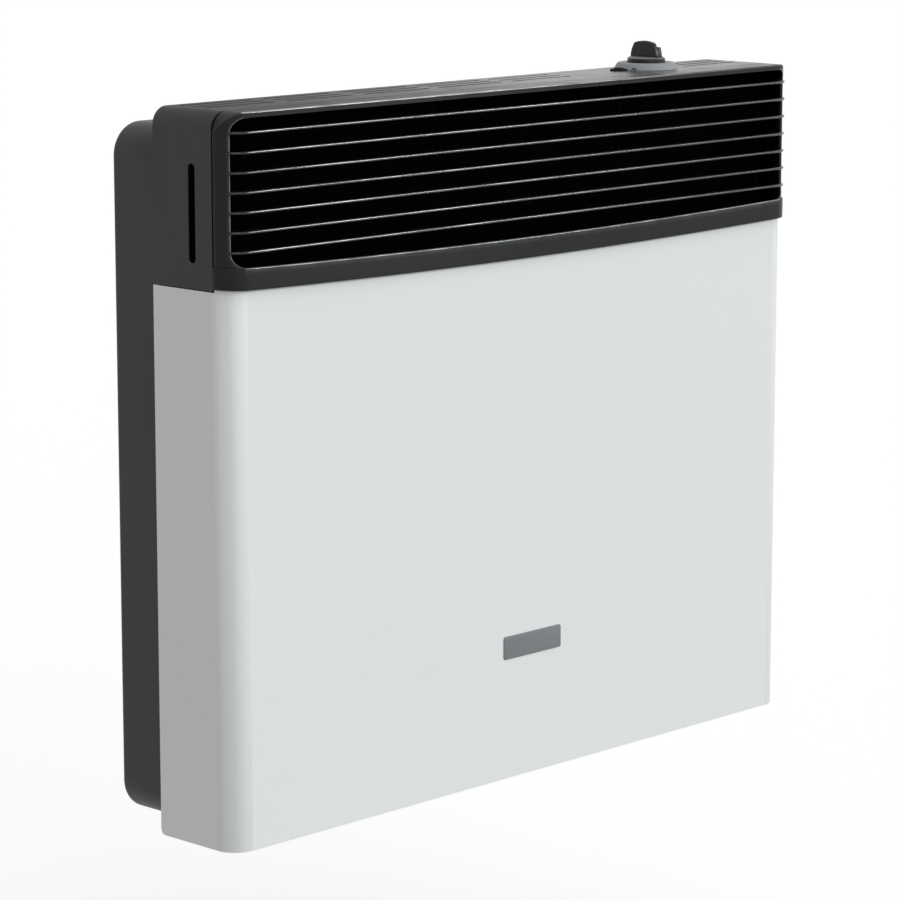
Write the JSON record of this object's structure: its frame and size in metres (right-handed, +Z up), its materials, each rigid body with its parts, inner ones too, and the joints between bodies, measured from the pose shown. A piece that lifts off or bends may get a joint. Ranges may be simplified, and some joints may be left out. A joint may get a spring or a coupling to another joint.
{
  "type": "wall mounted gas heater",
  "caption": "Balanced-flue wall gas heater: white enamelled front cover, black hood and louvred outlet grille wrapped round the top corners, gas knob and push igniter on top.",
  "frame": {"origin": "middle of the wall bracket's four screw holes, on the wall plane", "axes": "+X to the viewer's right as one faces the heater, +Y from the room into the wall, +Z up"},
  "size_m": [0.724, 0.211, 0.6469],
  "materials": {
    "white_enamel": "satin white enamel, baked on sheet steel",
    "black_enamel": "satin black enamel",
    "casing_enamel": "semi-gloss black heat-proof enamel",
    "plated_steel": "zinc-plated steel, dull",
    "aluminised_steel": "aluminised steel, dull",
    "aluminium": "satin aluminium",
    "badge_metal": "brushed and lacquered, bare",
    "brass": "machined brass",
    "copper_lead": "drawn copper, dull",
    "knob_plastic": "moulded black thermoset plastic",
    "igniter_plastic": "moulded black plastic",
    "ceramic": "glazed white ceramic",
    "gasket_fibre": "pressed ceramic fibre",
    "glass": "clear heat-proof glass",
    "cable": "black silicone insulation"
  },
  "bodies": {
    "cabinet": {"air_baffle": "black_enamel", "air_spigot": "aluminised_steel", "badge_plate": "badge_metal", "blade_stays": "black_enamel", "burner_gasket": "gasket_fibre", "burner_plate": "plated_steel", "burner_supports": "plated_steel", "burner_tube": "aluminised_steel", "casing_front": "casing_enamel", "casing_gasket": "gasket_fibre", "casing_screws": "plated_steel", "cover_screws": "plated_steel", "exhaust_duct": "aluminised_steel", "exhaust_spigot": "aluminised_steel", "front_cover": "white_enamel", "grille_blades": "black_enamel", "grille_frame": "black_enamel", "hanger_rail": "casing_enamel", "heat_shield": "aluminised_steel", "hood_screws": "plated_steel", "hood_support": "plated_steel", "igniter_body": "igniter_plastic", "igniter_nut": "plated_steel", "ignition_lead": "cable", "injector_elbow": "brass", "inlet_fitting": "brass", "knob_bezel": "knob_plastic", "lower_arms": "plated_steel", "main_gas_pipe": "aluminium", "pilot_bracket": "plated_steel", "pilot_burner": "brass", "pilot_pipe": "aluminium", "plate_screws": "plated_steel", "rear_casing": "casing_enamel", "sight_glass": "glass", "sight_ring": "plated_steel", "spark_electrode": "ceramic", "thermocouple": "copper_lead", "thermocouple_lead": "copper_lead", "top_hood": "black_enamel", "valve_body": "brass", "valve_bracket": "plated_steel", "wall_bracket": "plated_steel"},
    "plug": {"valve_plug": "brass"},
    "knob": {"control_rod": "plated_steel", "knob": "knob_plastic"},
    "button": {"igniter_button": "igniter_plastic"}
  },
  "joints": [
    {"name": "tap_turn", "type": "hinge", "parent": "cabinet", "child": "plug", "pos_m": [0.2226, -0.1065, -0.385], "axis": [0, 0, 1], "range_deg": [0, 180]},
    {"name": "knob_push", "type": "slide", "parent": "plug", "child": "knob", "axis": [0, 0, -1], "range_m": [0, 0.0035], "stiffness_N_per_m": 1500, "springref_m": -0.004},
    {"name": "igniter_push", "type": "slide", "parent": "cabinet", "child": "button", "axis": [0, 0, -1], "range_m": [0, 0.004], "stiffness_N_per_m": 1500, "springref_m": -0.004}
  ]
}
